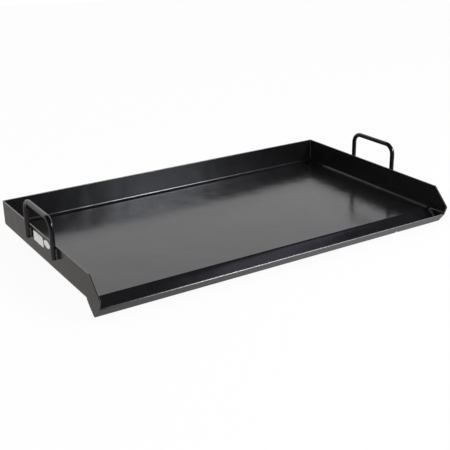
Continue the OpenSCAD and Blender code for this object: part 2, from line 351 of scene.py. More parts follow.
def arc(before, corner, after, radius, steps=ARC_STEPS):
    """Points of the arc that rounds a corner: it touches both sides, with its centre on their bisector."""
    before, corner, after = (np.asarray(point, float) for point in (before, corner, after))
    to_before, to_after = unit(before - corner), unit(after - corner)
    half = math.acos(to_before @ to_after) / 2
    middle = corner + unit(to_before + to_after) * radius / math.sin(half)
    first = corner + to_before * radius / math.tan(half) - middle
    last = corner + to_after * radius / math.tan(half) - middle
    start = math.atan2(first[1], first[0])
    sweep = math.atan2(first[0] * last[1] - first[1] * last[0], first @ last)
    turn = start + sweep * np.linspace(0, 1, steps + 1)
    return middle + radius * np.stack([np.cos(turn), np.sin(turn)], 1)


def eased_bend(before, corner, after, run):
    """Points of the parabola that leaves one side of a corner and meets the other a run past the corner.

    It is (1 - s)^2 before + 2 s (1 - s) corner + s^2 end, with s from 0 to 1.
    """
    before, corner, after = (np.asarray(point, float) for point in (before, corner, after))
    end = corner + run * unit(after - corner)
    s = np.linspace(0, 1, EASED_POINTS)[:, None]
    return (1 - s) ** 2 * before + 2 * s * (1 - s) * corner + s ** 2 * end


def shares(points):
    """Share of a polyline's length at each of its points."""
    run = np.cumsum(np.linalg.norm(np.diff(points, axis=0), axis=1))
    return np.concatenate([[0], run]) / run[-1]


def along(points, share):
    """Points at the given shares of a polyline's length."""
    return np.stack([np.interp(share, shares(points), column) for column in np.transpose(points)], 1)


def quarter_round(radius):
    """Inset and depth along a quarter-round edge: inset = r (1 - sin t) and depth = r (1 - cos t)."""
    turn = np.linspace(0, RIGHT_ANGLE, ROUND_STEPS + 1)
    return radius * (1 - np.sin(turn)), radius * (1 - np.cos(turn))


def in_plane_x(x, yz):
    """Points of planes across X, from their x and their y and z."""
    return np.concatenate([np.broadcast_to(x, yz.shape[:-1])[..., None], yz], -1)


class Shell:
    """Points and faces of one piece, gathered from grids and caps and then made into a mesh."""

    merge_distance = 1e-7
    sharp_angle = math.radians(35)

    def __init__(self):
        self.points = []
        self.thin = []
        self.faces = []
        self.count = 0

    def add(self, points, thin=0.0):
        """Keep an array of points and how thin their coat is, and give their numbers in the same shape."""
        points = np.asarray(points, float)
        self.thin.append(np.broadcast_to(thin, points.shape[:-1]).ravel())
        numbers = np.arange(points.size // 3).reshape(points.shape[:-1]) + self.count
        self.points.append(points.reshape(-1, 3))
        self.count += numbers.size
        return numbers

    def quads(self, grid, closed=False, without=None):
        """Join a grid of numbers with quads, round its rows if closed, leaving out a block of cells."""
        if closed:
            grid = np.concatenate([grid, grid[:, :1]], 1)
        cells = np.stack([grid[:-1, :-1], grid[1:, :-1], grid[1:, 1:], grid[:-1, 1:]], -1)
        kept = np.ones(cells.shape[:2], bool)
        if without is not None:
            kept[without] = False
        self.faces += cells[kept].tolist()

    def cap(self, loop):
        """Close a loop of numbers with one face."""
        self.faces.append(np.asarray(loop).tolist())

    def tube(self, rings, thin=0.0):
        """Closed rings of points carried along a path, with a face on each end."""
        numbers = self.add(rings, thin)
        self.quads(numbers, closed=True)
        self.cap(numbers[0])
        self.cap(numbers[-1])

    def piece(self, name, node, slot, material):
        """Merge the seams, point the faces outwards and show the piece in place of its node."""
        mesh = bpy.data.meshes.new(name)
        mesh.from_pydata(np.concatenate(self.points), [], self.faces)
        thin = mesh.attributes.new(THIN_COAT, "FLOAT", "POINT")
        thin.data.foreach_set("value", np.concatenate(self.thin).astype(np.float32))
        work = bmesh.new()
        work.from_mesh(mesh)
        bmesh.ops.remove_doubles(work, verts=work.verts, dist=self.merge_distance)
        bmesh.ops.dissolve_degenerate(work, edges=work.edges, dist=self.merge_distance)
        bmesh.ops.recalc_face_normals(work, faces=work.faces)
        work.to_mesh(mesh)
        work.free()
        mesh.shade_smooth()
        mesh.set_sharp_from_angle(angle=self.sharp_angle)
        mesh.materials.append(material)
        made = bpy.data.objects.new(name, mesh)
        bpy.context.scene.collection.objects.link(made)
        made.modifiers.new("weighted_normals", "WEIGHTED_NORMAL").keep_sharp = True
        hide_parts(node)
        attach(made, BODY)


class FrontSection:
    """Corner points of the trough, the wall fronts and the caps: u forward from the floor, v up from it."""

    def __init__(self, scene):
        trough, fronts, sheet = scene.griddle_trough, scene.griddle_fronts, scene.griddle_sheet
        pitch = trough.slope_pitch
        self.inner_r = trough.bend_radius
        self.outer_r = trough.bend_radius + SHEET
        self.nose_r = fronts.nose_radius
        self.slope = np.array([math.cos(pitch), -math.sin(pitch)])
        self.lip = np.array([math.sin(pitch), math.cos(pitch)])
        self.inward = np.array([-math.cos(pitch), math.sin(pitch)])
        self.crease_under = np.array([self.inner_r * math.tan(pitch / 2), -SHEET])
        self.crease_over = np.array([self.outer_r * math.tan(pitch / 2), 0.0])
        self.vee = self.crease_under + trough.slope_width * self.slope
        self.vee_inside = self.vee + SHEET * (self.lip + self.inward)
        self.lip_top = self.vee + trough.lip_width * self.lip
        self.lip_inside = self.lip_top + SHEET * self.inward
        self.nose = np.array([self.lip_top[0] + fronts.nose_reach, fronts.nose_height])
        self.nose_cut = np.array([fronts.top_reach, WALL_H])
        self.seam_back = np.array([0.0, sheet.fold_radius])
        self.seam_foot = np.array([fronts.cap_lap, 0.0])
        rise = fronts.seam_rise / (self.nose[1] - self.lip_top[1])
        self.seam_head = self.lip_top + (self.nose - self.lip_top) * rise
        self.cap_turn = self.crease_under + fronts.cap_start * self.slope

    @staticmethod
    def yz(points):
        """The same points as y and z of the model."""
        points = np.asarray(points, float)
        return np.stack([FOLD_Y - points[..., 0], COOK_Z + points[..., 1]], -1)


def rounded_section(shell, outline, low, high, edge):
    """A solid of one section along X: a quarter-round at each end draws its outline, in y and z, in."""
    outline = np.asarray(outline, float)
    ahead = np.roll(outline, -1, axis=0) - outline
    ahead /= np.linalg.norm(ahead, axis=1)[:, None]
    behind = np.roll(ahead, 1, axis=0)
    area = np.sum(outline[:, 0] * np.roll(outline[:, 1], -1) - np.roll(outline[:, 0], -1) * outline[:, 1])
    to_left = np.array([[0, 1], [-1, 0]])
    inward = np.sign(area) * (ahead + behind) @ to_left / (1 + np.sum(ahead * behind, axis=1))[:, None]
    inset, depth = quarter_round(edge)
    insets = np.concatenate([inset, inset[::-1]])
    x = np.concatenate([low + depth, high - depth[::-1]])
    thin = np.concatenate([ROUND_THIN, ROUND_THIN])[:, None]
    shell.tube(in_plane_x(x[:, None], outline + insets[:, None, None] * inward), thin)


def bead(shell, start, end, out_a, out_b, leg, welds, seed, rough=1.0, lift=BEAD_LIFT):
    """A bead along the seam of two faces, out_a and out_b pointing away from them.

    A circle is carried along the seam, its centre out of the corner by lift times the leg. Its radius is
    a share of the leg times ends (1 + ripple wave): wave has one scale in each pitch, and ends rounds off
    both tips.
    """
    start, end, out_a, out_b = (np.asarray(vector, float) for vector in (start, end, out_a, out_b))
    run = np.linalg.norm(end - start)
    radius = BEAD_RADIUS * leg
    pitch = welds.pitch * rough
    s = np.linspace(0, run, max(int(RIPPLE_POINTS * run / pitch), BEAD_POINTS))
    random = np.random.default_rng(seed)
    knots = np.linspace(0, run, max(int(run / pitch / PITCHES_PER_KNOT), BEAD_KNOTS))
    drift, swell = (np.interp(s, knots, random.uniform(-1, 1, len(knots))) for _ in range(2))
    wave = np.abs(np.sin(math.pi * (s / pitch + BEAD_DRIFT * drift))) - RIPPLE_MIDDLE
    tip = np.clip(1 - np.minimum(s, run - s) / (BEAD_TIP * radius), 0, BEAD_BLUNT)
    size = radius * np.sqrt(1 - tip ** 2) * (1 + welds.ripple * rough * wave + BEAD_SWELL * rough * swell)
    away = leg * (lift + BEAD_SWAY * drift)
    middle = start + np.outer(s / run, end - start) + away[:, None] * (out_a + out_b)
    turn = np.linspace(0, FULL_TURN, BEAD_SIDES, endpoint=False)
    ring = np.cos(turn)[:, None] * out_a + np.sin(turn)[:, None] * out_b
    crest = np.clip(wave / (1 - RIPPLE_MIDDLE), 0, 1)
    shell.tube(middle[:, None] + size[:, None, None] * ring, crest[:, None])


# Pieces

def wall_profile(radius, edge):
    """Section of a wall from the floor up its inside, over the rim and down its outside.

    Gives d, the distance out from the start of the fold, h, the height above the floor, how thin the coat
    is, and the numbers of the points where the flat of the wall starts inside and ends outside.
    """
    fold = np.linspace(0, RIGHT_ANGLE, FOLD_POINTS)
    flat = np.linspace(radius, WALL_H - edge, WALL_POINTS)[1:]
    inset, depth = quarter_round(edge)
    outer = radius + SHEET
    d = np.concatenate([
        radius * np.sin(fold), np.full_like(flat, radius), radius + depth[1:],
        outer - depth[::-1], np.full_like(flat, outer), outer * np.sin(fold[-2::-1]),
    ])
    h = np.concatenate([
        radius * (1 - np.cos(fold)), flat, WALL_H - inset[1:],
        WALL_H - inset[::-1], flat[-2::-1], [radius], radius - outer * np.cos(fold[-2::-1]),
    ])
    below = np.zeros(len(fold) + len(flat) - 1)
    thin = np.concatenate([below, ROUND_THIN, ROUND_THIN, below])
    return d, h, thin, len(fold) - 1, len(d) - len(fold)


def wall_front(sheet, section, d, h):
    """Front of a side wall: straight lines run from its outline, over the rounded edge, down to its seam.

    Gives u and v on a grid of stations along the outline by points of the wall's section.
    """
    edge = sheet.edge_radius
    outline = np.concatenate([
        [[0, WALL_H]], arc([0, WALL_H], section.nose_cut, section.nose, section.nose_r),
        arc(section.nose_cut, section.nose, section.seam_head, section.nose_r), [section.seam_head],
    ])
    seam_end = section.seam_head - edge * unit(section.seam_head - section.seam_foot)
    seam_line = np.array([section.seam_back, section.seam_foot, seam_end])
    stops = np.unique(np.concatenate([shares(outline), shares(seam_line), np.linspace(0, 1, FRONT_POINTS)]))
    top, seam = along(outline, stops), along(seam_line, stops)
    heading = np.gradient(top, axis=0)
    heading[0] = [1, 0]
    inward = np.stack([heading[:, 1], -heading[:, 0]], 1) / np.linalg.norm(heading, axis=1)[:, None]
    rim = top + edge * inward
    depth = WALL_H - h
    over_edge = (np.minimum(depth, edge) / edge)[None, :, None]
    down_wall = (np.maximum(depth - edge, 0) / (WALL_H - sheet.fold_radius - edge))[None, :, None]
    return top[:, None] + over_edge * (rim - top)[:, None] + down_wall * (seam - rim)[:, None]


def tray_shell(sheet, section):
    """The tray: the wall's section is carried round three sides of a flat floor.

    x = side (a + m) + nx q and y = front + w (b + m + lean - front) + ny q, where a is the floor's half
    width and b its back edge. The distance out is d = m + q, where m goes straight into the corner and q
    turns round it, and the lean grows with the height.
    """
    shell = Shell()
    radius = sheet.fold_radius
    d, h, thin, first, last = wall_profile(radius, sheet.edge_radius)
    a, b = INNER_HALF_W - radius, BACK_Y - SHEET - radius
    m = np.minimum(d, radius - sheet.corner_radius)
    q = d - m
    deep, wide = np.linspace(0, 1, DEPTH_POINTS), np.linspace(-1, 1, WIDTH_POINTS)
    fan = np.linspace(math.pi, RIGHT_ANGLE, CORNER_POINTS)[1:-1]
    still, level = np.ones_like(deep), np.ones_like(fan)
    side = np.concatenate([-still, -level, wide, level, still])
    w = np.concatenate([deep, level, np.ones_like(wide), level, deep[::-1]])
    nx = np.concatenate([-still, np.cos(fan), 0 * wide, -np.cos(fan[::-1]), still])
    ny = np.concatenate([0 * deep, np.sin(fan), np.ones_like(wide), np.sin(fan[::-1]), 0 * deep])
    x = side[:, None] * (a + m) + nx[:, None] * q
    lean = sheet.back_lean * np.maximum(h, 0) / WALL_H
    y = FOLD_Y + w[:, None] * (b + m + lean - FOLD_Y) + ny[:, None] * q
    walls = shell.add(np.stack([x, y, np.broadcast_to(COOK_Z + h, x.shape)], -1), thin)
    shell.quads(walls)

    across, back = np.meshgrid(a * wide, FOLD_Y + deep * (b - FOLD_Y))
    cooking = shell.add(np.stack([across, back, np.full_like(across, COOK_Z)], -1))
    under = shell.add(np.stack([across, back, np.full_like(across, FLOOR_UNDER)], -1))
    shell.quads(cooking)
    shell.quads(under)
    shell.quads(np.stack([cooking[0], under[0]]))

    flat = slice(first, last + 1)
    front = wall_front(sheet, section, d[flat], h[flat])
    for sign, end in ((-1, walls[0]), (1, walls[-1])):
        plate = shell.add(in_plane_x(sign * (a + d[flat]), section.yz(front)), thin[flat])
        shell.quads(plate)
        shell.quads(np.stack([plate[:, 0], plate[:, -1]]))
        shell.cap(plate[-1])
        shell.cap(np.concatenate([end[:first + 1], end[last:]]))
    return shell


def outside_loop(block):
    """The values round the edge of a block, in order."""
    return np.concatenate([block[0, :-1], block[:-1, -1], block[-1, :0:-1], block[:0:-1, 0]])


def on_face(section, face, plan):
    """Points of a face of the trough over points in plan, given as x and u."""
    u = plan[..., 1]
    return in_plane_x(plan[..., 0], section.yz(np.stack([u, np.interp(u, face[:, 0], face[:, 1])], -1)))


def trough_shell(trough, section):
    """The trough: its section is carried along X, and the drain is drawn in from a block of the grid.

    The bend from the floor is a parabola over and an arc under, and the V is two arcs.
    In the block, straight lines in plan run from the points of its outside to the drain's circle, and their
    height follows the face that they lie on.
    """
    shell = Shell()
    edge = trough.lip_edge
    bend_over = eased_bend([0, 0], section.crease_over, section.vee_inside, trough.crease_run)
    bend_under = arc([0, -SHEET], section.crease_under, section.vee, section.inner_r, BEND_STEPS)
    lines = (
        (bend_over, section.crease_over, section.vee_inside, section.lip_inside, section.inner_r),
        (bend_under, section.crease_under, section.vee, section.lip_top, section.outer_r),
    )
    faces = [
        np.concatenate([bend, arc(crease, vee, lip, radius, BEND_STEPS), [lip - edge * section.lip]])
        for bend, crease, vee, lip, radius in lines
    ]
    radius = trough.drain_diameter / 2
    half = DRAIN_BLOCK * radius
    drain = np.array([HALF_W - trough.drain_inset, section.vee[0]])
    block = np.linspace(-half, half, DRAIN_POINTS)
    block_x = drain[0] + block
    block_u = np.concatenate([faces[0][:, 0], faces[1][:, 0], drain[1] + block])
    block_u = block_u[np.abs(block_u - drain[1]) <= half]
    x = np.unique(np.concatenate([np.linspace(TROUGH_LOW[0], block_x[0], TROUGH_POINTS_LEFT), block_x,
                                  np.linspace(block_x[-1], TROUGH_HIGH[0], TROUGH_POINTS_RIGHT)]))
    in_x = np.flatnonzero(np.abs(x - drain[0]) <= half)
    rims = []
    grids = []
    for face in faces:
        u = np.unique(np.concatenate([face[:, 0], block_u]))
        in_u = np.flatnonzero(np.abs(u - drain[1]) <= half)
        plan = np.stack(np.meshgrid(x, u, indexing="ij"), -1)
        grid = shell.add(on_face(section, face, plan))
        shell.quads(grid, without=np.ix_(in_x[:-1], in_u[:-1]))
        start = outside_loop(plan[np.ix_(in_x, in_u)])
        circle = drain + radius * (start - drain) / np.linalg.norm(start - drain, axis=1)[:, None]
        share = np.linspace(0, 1, DRAIN_RINGS)[:, None, None]
        rings = shell.add(on_face(section, face, start + share * (circle - start)))
        shell.quads(rings, closed=True)
        rims.append(rings[-1])
        grids.append(grid)
    shell.quads(np.stack(rims), closed=True)

    inset, depth = quarter_round(edge)
    top = np.concatenate([
        section.lip_inside - np.outer(inset, section.lip) - np.outer(depth, section.inward),
        section.lip_top - np.outer(inset[::-1], section.lip) + np.outer(depth[::-1], section.inward),
    ])
    thin = np.concatenate([np.linspace(*ends, len(inset)) for ends in (LIP_THIN_INSIDE, LIP_THIN_OUTSIDE)])
    edge_yz = np.broadcast_to(section.yz(top), (len(x),) + top.shape)
    worn = ((x - TROUGH_LOW[0]) / trough.lip_fade).clip(0, 1)
    lip = shell.add(in_plane_x(x[:, None], edge_yz), worn[:, None] * thin.clip(0, 1))
    shell.quads(lip)
    shell.quads(np.stack([grids[0][:, 0], grids[1][:, 0]]))
    for end in (0, -1):
        shell.cap(np.concatenate([grids[0][end], lip[end][1:-1], grids[1][end][::-1]]))
    return shell


def cap_shell(section, sign, edge):
    """A trough cap: a flat plate with the V's outline, closed along the seam with the wall's front."""
    outline = np.concatenate([
        [section.seam_foot, section.seam_back, [0, 0], section.cap_turn],
        arc(section.cap_turn, section.vee, section.lip_top, section.outer_r),
        [section.lip_top, section.seam_head],
    ])
    shell = Shell()
    low, high = sorted((sign * HALF_W, sign * INNER_HALF_W))
    rounded_section(shell, section.yz(outline), low, high, edge)
    return shell


def bar_shell(low, high, handles):
    """A handle: a circle is carried up one leg, round two bends and down the other, with rounded ends."""
    bend = handles.bend_radius
    near, far, top = low[1] + BAR_R, high[1] - BAR_R, high[2] - BAR_R
    inset, depth = quarter_round(handles.end_radius)
    leg = np.concatenate([low[2] + depth, np.linspace(low[2] + depth[-1], top - bend, LEG_POINTS)[1:-1]])
    path = np.concatenate([
        np.stack([np.full_like(leg, near), leg], 1),
        arc([near, low[2]], [near, top], [far, top], bend, BAR_BEND_STEPS),
        np.linspace([near + bend, top], [far - bend, top], GRIP_POINTS)[1:-1],
        arc([near, top], [far, top], [far, low[2]], bend, BAR_BEND_STEPS),
        np.stack([np.full_like(leg, far), leg[::-1]], 1),
    ])
    radius = np.full(len(path), BAR_R)
    radius[:len(inset)] -= inset
    radius[-len(inset):] -= inset[::-1]
    heading = np.gradient(path, axis=0)
    normal = np.stack([-heading[:, 1], heading[:, 0]], 1) / np.linalg.norm(heading, axis=1)[:, None]
    turn = np.linspace(0, FULL_TURN, BAR_SIDES, endpoint=False)
    yz = path[:, None] + (radius[:, None] * np.cos(turn))[..., None] * normal[:, None]
    shell = Shell()
    shell.tube(in_plane_x((low[0] + high[0]) / 2 + radius[:, None] * np.sin(turn), yz))
    return shell


def handle_weld_shell(low, high, sign, welds):
    """The beads of a handle: one on each side of both legs, upright in the corner of bar and wall."""
    shell = Shell()
    foot, head = (corner[2] for corner in corners("handle_welds_right"))
    for leg, y in enumerate((low[1] + BAR_R, high[1] - BAR_R)):
        for face in (-1, 1):
            corner = np.array([sign * HALF_W, y + face * (BAR_R - BEAD_LIFT * welds.leg), 0])
            bead(shell, corner + [0, 0, foot], corner + [0, 0, head], [sign, 0, 0], [0, face, 0], welds.leg,
                 welds, seed=(leg, face + 1, sign + 1))
    return shell


def corner_weld_shell(sheet, sign, welds):
    """A back corner's weld: a small bead inside, and a rounded skin outside.

    The skin is the band between two arcs about the corner's centre, carried up the wall with a ripple.
    """
    shell = Shell()
    low, high = COOK_Z + sheet.fold_radius, TOP_Z - sheet.edge_radius
    inside = np.array([sign * INNER_HALF_W, BACK_Y - SHEET, 0])
    bead(shell, inside + [0, 0, low], inside + [0, sheet.back_lean, high], [-sign, 0, 0], [0, -1, 0],
         welds.seam_leg, welds, seed=(sign + 1,))
    z = np.linspace(low, high, SKIN_RINGS)
    proud = welds.skin + welds.skin_ripple * np.sin(FULL_TURN * (z - low) / welds.pitch)
    turn = np.radians(np.linspace(*SKIN_SWEEP, SKIN_POINTS))
    middle = np.array([HALF_W, BACK_Y]) - SHEET - sheet.corner_radius
    swell = np.sin(np.linspace(SKIN_START, math.pi - SKIN_START, SKIN_POINTS))
    outer = SHEET + sheet.corner_radius + proud[:, None] * swell
    radius = np.concatenate([outer, np.full_like(outer, SHEET / 2)], 1)
    turn = np.concatenate([turn, turn[::-1]])
    x = sign * (middle[0] + radius * np.cos(turn))
    y = middle[1] + radius * np.sin(turn) + (sheet.back_lean * (z - COOK_Z) / WALL_H)[:, None]
    shell.tube(np.stack([x, y, np.broadcast_to(z[:, None], x.shape)], -1))
    return shell


def cap_weld_shell(section, sign, welds):
    """The beads inside a trough's end: along its slope, along its lip, and over the seam above."""
    shell = Shell()
    climb = unit(section.seam_head - section.seam_foot)
    off_seam = np.array([-climb[1], climb[0]])
    slope_leg = SLOPE_BEAD * welds.leg
    lines = (
        (section.crease_over, section.vee_inside, section.slope, section.lip, slope_leg, BEAD_LIFT),
        (section.vee_inside, section.lip_inside, section.lip, section.inward, welds.leg, BEAD_LIFT),
        (section.seam_foot, section.seam_head, climb, off_seam, welds.seam_leg, 0.0),
    )
    for number, (start, end, heading, out, leg, lift) in enumerate(lines):
        ends = section.yz([start + SHEET * heading, end - SHEET * heading])
        ends = in_plane_x(sign * INNER_HALF_W, ends)
        bead(shell, *ends, [-sign, 0, 0], [0, -out[0], out[1]], leg, welds, seed=(number, sign + 1),
             rough=TROUGH_BEAD_ROUGH, lift=lift)
    return shell


def floor_weld_shell(welds):
    """The bead under the joint of floor and trough."""
    shell = Shell()
    low, high = corners("floor_weld")
    bead(shell, [low[0], FOLD_Y, FLOOR_UNDER], [high[0], FOLD_Y, FLOOR_UNDER], [0, 0, -1], [0, -1, 0],
         FLOOR_BEAD * welds.seam_leg, welds, seed=(FLOOR_SEED,), lift=0.0)
    return shell


def stitch_weld_shell(nodes, order, count, welds, seed=()):
    """Stitch welds along both edges of channels, spread evenly from end to end of each.

    They are worked out for channels along X, and order turns them.
    """
    shell = Shell()
    for row, node in enumerate(nodes):
        low, high = (corner[order] for corner in corners(node))
        for face, y in ((-1, low[1]), (1, high[1])):
            for number, x in enumerate(np.linspace(low[0], high[0] - welds.stitch, count)):
                start = np.array([x, y, FLOOR_UNDER])
                end = np.array([x + welds.stitch, y, FLOOR_UNDER])
                out = np.array([0, face, 0])
                bead(shell, start[order], end[order], out[order], [0, 0, -1], welds.leg, welds,
                     seed=(row, face + 1, number, *seed))
    return shell


def channel_outline(low, high, sheet, fold):
    """Outline of a channel that is open at the top, from its lowest and highest corner."""
    inner_low, inner_high = low + [sheet, sheet], high - [sheet, 0]
    return np.concatenate([
        [[low[0], high[1]]], arc([low[0], high[1]], low, [high[0], low[1]], fold + sheet),
        arc(low, [high[0], low[1]], high, fold + sheet), [high], [inner_high],
        arc(inner_high, [inner_high[0], inner_low[1]], inner_low, fold),
        arc([inner_high[0], inner_low[1]], inner_low, [inner_low[0], inner_high[1]], fold),
        [[inner_low[0], inner_high[1]]],
    ])


def channel_shell(node, order, thickness, under):
    """A channel that is open at the top: its section is carried along X, and order turns it."""
    shell = Shell()
    low, high = (corner[order] for corner in corners(node))
    outline = channel_outline(low[1:], high[1:], thickness, under.fold_radius)
    rounded_section(shell, outline, low[0], high[0], under.edge_radius)
    shell.points = [points[:, order] for points in shell.points]
    return shell


def square_label_shell(labels):
    """The square-ended label: a thin film with one clipped corner."""
    shell = Shell()
    low, high = corners("square_label")
    (y0, z0), (y1, z1) = low[1:], high[1:]
    clip, radius = labels.clipped, labels.corner_radius
    outline = np.concatenate([
        arc([y0, z1], [y0, z0], [y1, z0], radius, ROUND_STEPS),
        arc([y0, z0], [y1, z0], [y1, z1], radius, ROUND_STEPS),
        arc([y1, z0], [y1, z1], [y0, z1], radius, ROUND_STEPS),
        [[y0 + clip, z1], [y0, z1 - clip]],
    ])
    rounded_section(shell, outline, low[0], high[0], labels.edge_radius)
    return shell


def oval_label_shell(labels):
    """The oval label: a thin film with the outline of an ellipse."""
    shell = Shell()
    low, high = corners("oval_label")
    turn = np.linspace(0, FULL_TURN, OVAL_POINTS, endpoint=False)
    middle, half = (low[1:] + high[1:]) / 2, (high[1:] - low[1:]) / 2
    outline = middle + half * np.stack([np.cos(turn), np.sin(turn)], 1)
    rounded_section(shell, outline, low[0], high[0], labels.edge_radius)
    return shell


# Materials

class Signal:
    """A socket of a node tree. Arithmetic on it adds Math nodes, and node() adds any other node."""

    def __init__(self, tree, socket):
        self.tree = tree
        self.socket = socket

    def node(self, kind, settings, inputs, output=0):
        """Add a node, make its settings, fill or link its inputs, and give one of its outputs."""
        made = self.tree.nodes.new(kind)
        for name, value in settings.items():
            setattr(made, name, value)
        for name, value in inputs.items():
            if isinstance(value, Signal):
                self.tree.links.new(value.socket, made.inputs[name])
            else:
                made.inputs[name].default_value = value
        return Signal(self.tree, made.outputs[output])

    def beside(self, output):
        """Another output of the same node."""
        return Signal(self.tree, self.socket.node.outputs[output])

    def math(self, operation, *values):
        """A Math node on the given values."""
        return self.node("ShaderNodeMath", {"operation": operation}, dict(enumerate(values)))

    def __add__(self, other):
        return self.math("ADD", self, other)

    def __sub__(self, other):
        return self.math("SUBTRACT", self, other)

    def __rsub__(self, other):
        return self.math("SUBTRACT", other, self)

    def __mul__(self, other):
        return self.math("MULTIPLY", self, other)

    __radd__ = __add__
    __rmul__ = __mul__

    def noise(self, scale, detail, roughness):
        """Cloudy noise, about 0.5 in the middle, with this many features in a metre."""
        return self.node("ShaderNodeTexNoise", {}, {"Vector": self, "Scale": scale, "Detail": detail,
                                                    "Roughness": roughness})

    def stretch(self, scale):
        """The coordinates times a scale for each axis."""
        return self.node("ShaderNodeVectorMath", {"operation": "MULTIPLY"}, {0: self, 1: scale})

    def step(self, low, high):
        """0 below low, 1 above high, and a smooth rise between them."""
        return self.node("ShaderNodeMapRange", {"interpolation_type": "SMOOTHSTEP"},
                         {"Value": self, "From Min": low, "From Max": high})

    def blend(self, first, second):
        """A colour between two colours, with this signal as the share of the second."""
        return self.node("ShaderNodeMix", {"data_type": "RGBA"}, {0: self, 6: first, 7: second}, 2)

    def bump(self, distance, over=None):
        """A normal bent as if this signal were a height in this distance, on top of another bump."""
        inputs = {"Strength": 1.0, "Distance": distance, "Height": self}
        if over:
            inputs["Normal"] = over
        return self.node("ShaderNodeBump", {}, inputs)

    def show(self, kind="ShaderNodeOutputMaterial"):
        """Make this shader the one that its tree shows."""
        self.tree.links.new(self.socket, self.tree.nodes.new(kind).inputs["Surface"])


def opaque(rgb, shade=1.0):
    """A colour, lighter or darker, with full alpha."""
    return (*(shade * channel for channel in rgb), 1.0)


def source(data, kind, output):
    """An empty node tree of a material or a world, with its first node's output as a signal."""
    data.use_nodes = True
    data.node_tree.nodes.clear()
    return Signal(data.node_tree, data.node_tree.nodes.new(kind).outputs[output])


def coating(name, finishes, rgb, roughness, spread, grain, grain_depth, wave_depth, wear):
    """A sprayed coating: fine grain and slow waves in its height, and clouds in its colour and gloss.

    Where it is thin, on the sheet's edges and the welds' crests, steel shines through by up to the wear.
    """
    material = bpy.data.materials.new(name)
    position = source(material, "ShaderNodeTexCoord", "Object")
    clouds = position.noise(scale=38.0, detail=4.0, roughness=0.6)
    rolled = position.stretch(ROLLED).noise(scale=1.0, detail=4.0, roughness=0.65)
    patches = (clouds * CLOUD_SHARE + rolled * (1 - CLOUD_SHARE)).step(low=0.25, high=0.75)
    paint = patches.blend(opaque(rgb, DARKEST), opaque(rgb, LIGHTEST))
    gloss = roughness + spread * (clouds - NOISE_MIDDLE) + ROLLED_GLOSS * spread * (rolled - NOISE_MIDDLE)
    thin = position.node("ShaderNodeAttribute", {"attribute_name": THIN_COAT}, {}, "Fac")
    chips = position.noise(scale=160.0, detail=3.0, roughness=0.7).step(low=0.35, high=0.65)
    worn = thin * (EVEN_WEAR + (1 - EVEN_WEAR) * chips) * wear
    gloss = gloss + worn * (finishes.bare_roughness - gloss)
    waves = position.noise(scale=9.0, detail=2.0, roughness=0.5).bump(wave_depth)
    position.node("ShaderNodeBsdfPrincipled", {}, {
        "Base Color": worn.blend(paint, opaque(finishes.bare)),
        "Metallic": worn,
        "Roughness": gloss,
        "Normal": position.noise(scale=grain, detail=2.0, roughness=0.6).bump(grain_depth, over=waves),
        "IOR": COAT_IOR,
    }).show()
    return material


def satin_coat(finishes):
    """Satin black over the rolled sheet: nearly even, with a faint grain along the plate."""
    return coating("satin_coat", finishes, finishes.coat, finishes.coat_roughness,
                   spread=0.09, grain=1400.0, grain_depth=0.00002, wave_depth=0.0013, wear=0.85)


def bar_coat(finishes):
    """The same black on drawn bar, a little glossier."""
    return coating("bar_coat", finishes, finishes.bar, finishes.bar_roughness,
                   spread=0.08, grain=900.0, grain_depth=0.00003, wave_depth=0.00001, wear=0.1)


def weld_coat(finishes):
    """Coating over the ripples of the welds, thin on their crests."""
    return coating("weld_coat", finishes, finishes.weld, finishes.weld_roughness,
                   spread=0.12, grain=1100.0, grain_depth=0.00006, wave_depth=0.0, wear=0.5)


def under_coat(finishes):
    """Flat heat-proof black on the rails and heat spreaders."""
    return coating("under_coat", finishes, finishes.under, finishes.under_roughness,
                   spread=0.14, grain=1000.0, grain_depth=0.00006, wave_depth=0.00004, wear=0.3)


def label_film(finishes):
    """Matte white film with a faint paper grain."""
    material = bpy.data.materials.new("label_film")
    position = source(material, "ShaderNodeTexCoord", "Object")
    fibre = position.noise(scale=1800.0, detail=3.0, roughness=0.7)
    soiled = position.noise(scale=70.0, detail=4.0, roughness=0.65).step(low=0.35, high=0.80)
    position.node("ShaderNodeBsdfPrincipled", {}, {
        "Base Color": soiled.blend(opaque(finishes.label), opaque(finishes.label, LABEL_SOILED)),
        "Roughness": finishes.label_roughness + finishes.label_spread * fibre,
        "Normal": fibre.bump(finishes.fibre_depth),
        "IOR": LABEL_IOR,
    }).show()
    return material


def finish(maker):
    """A material that is made once and shared."""
    return bpy.data.materials.get(maker.__name__) or maker(bpy.context.scene.griddle_finishes)


# Build steps

class GRIDDLE_OT_tray(bpy.types.Operator):
    """Build the folded tray with its floor, back wall and side walls"""
    bl_idname = "griddle.tray"
    bl_label = "Tray"

    def execute(self, context):
        scene = context.scene
        shell = tray_shell(scene.griddle_sheet, FrontSection(scene))
        shell.piece("tray_sheet", "tray", "satin_black_steel", finish(satin_coat))
        return {"FINISHED"}


class GRIDDLE_OT_trough(bpy.types.Operator):
    """Build the V-shaped grease trough with its drain hole"""
    bl_idname = "griddle.trough"
    bl_label = "Grease trough"

    def execute(self, context):
        scene = context.scene
        shell = trough_shell(scene.griddle_trough, FrontSection(scene))
        shell.piece("trough_sheet", "trough", "satin_black_steel", finish(satin_coat))
        return {"FINISHED"}


class GRIDDLE_OT_trough_caps(bpy.types.Operator):
    """Build the plates that close both ends of the trough"""
    bl_idname = "griddle.trough_caps"
    bl_label = "Trough caps"

    def execute(self, context):
        scene = context.scene
        for side, sign in SIDES.items():
            shell = cap_shell(FrontSection(scene), sign, scene.griddle_fronts.cap_edge)
            shell.piece("cap_plate_" + side, "trough_cap_" + side, "satin_black_steel", finish(satin_coat))
        return {"FINISHED"}


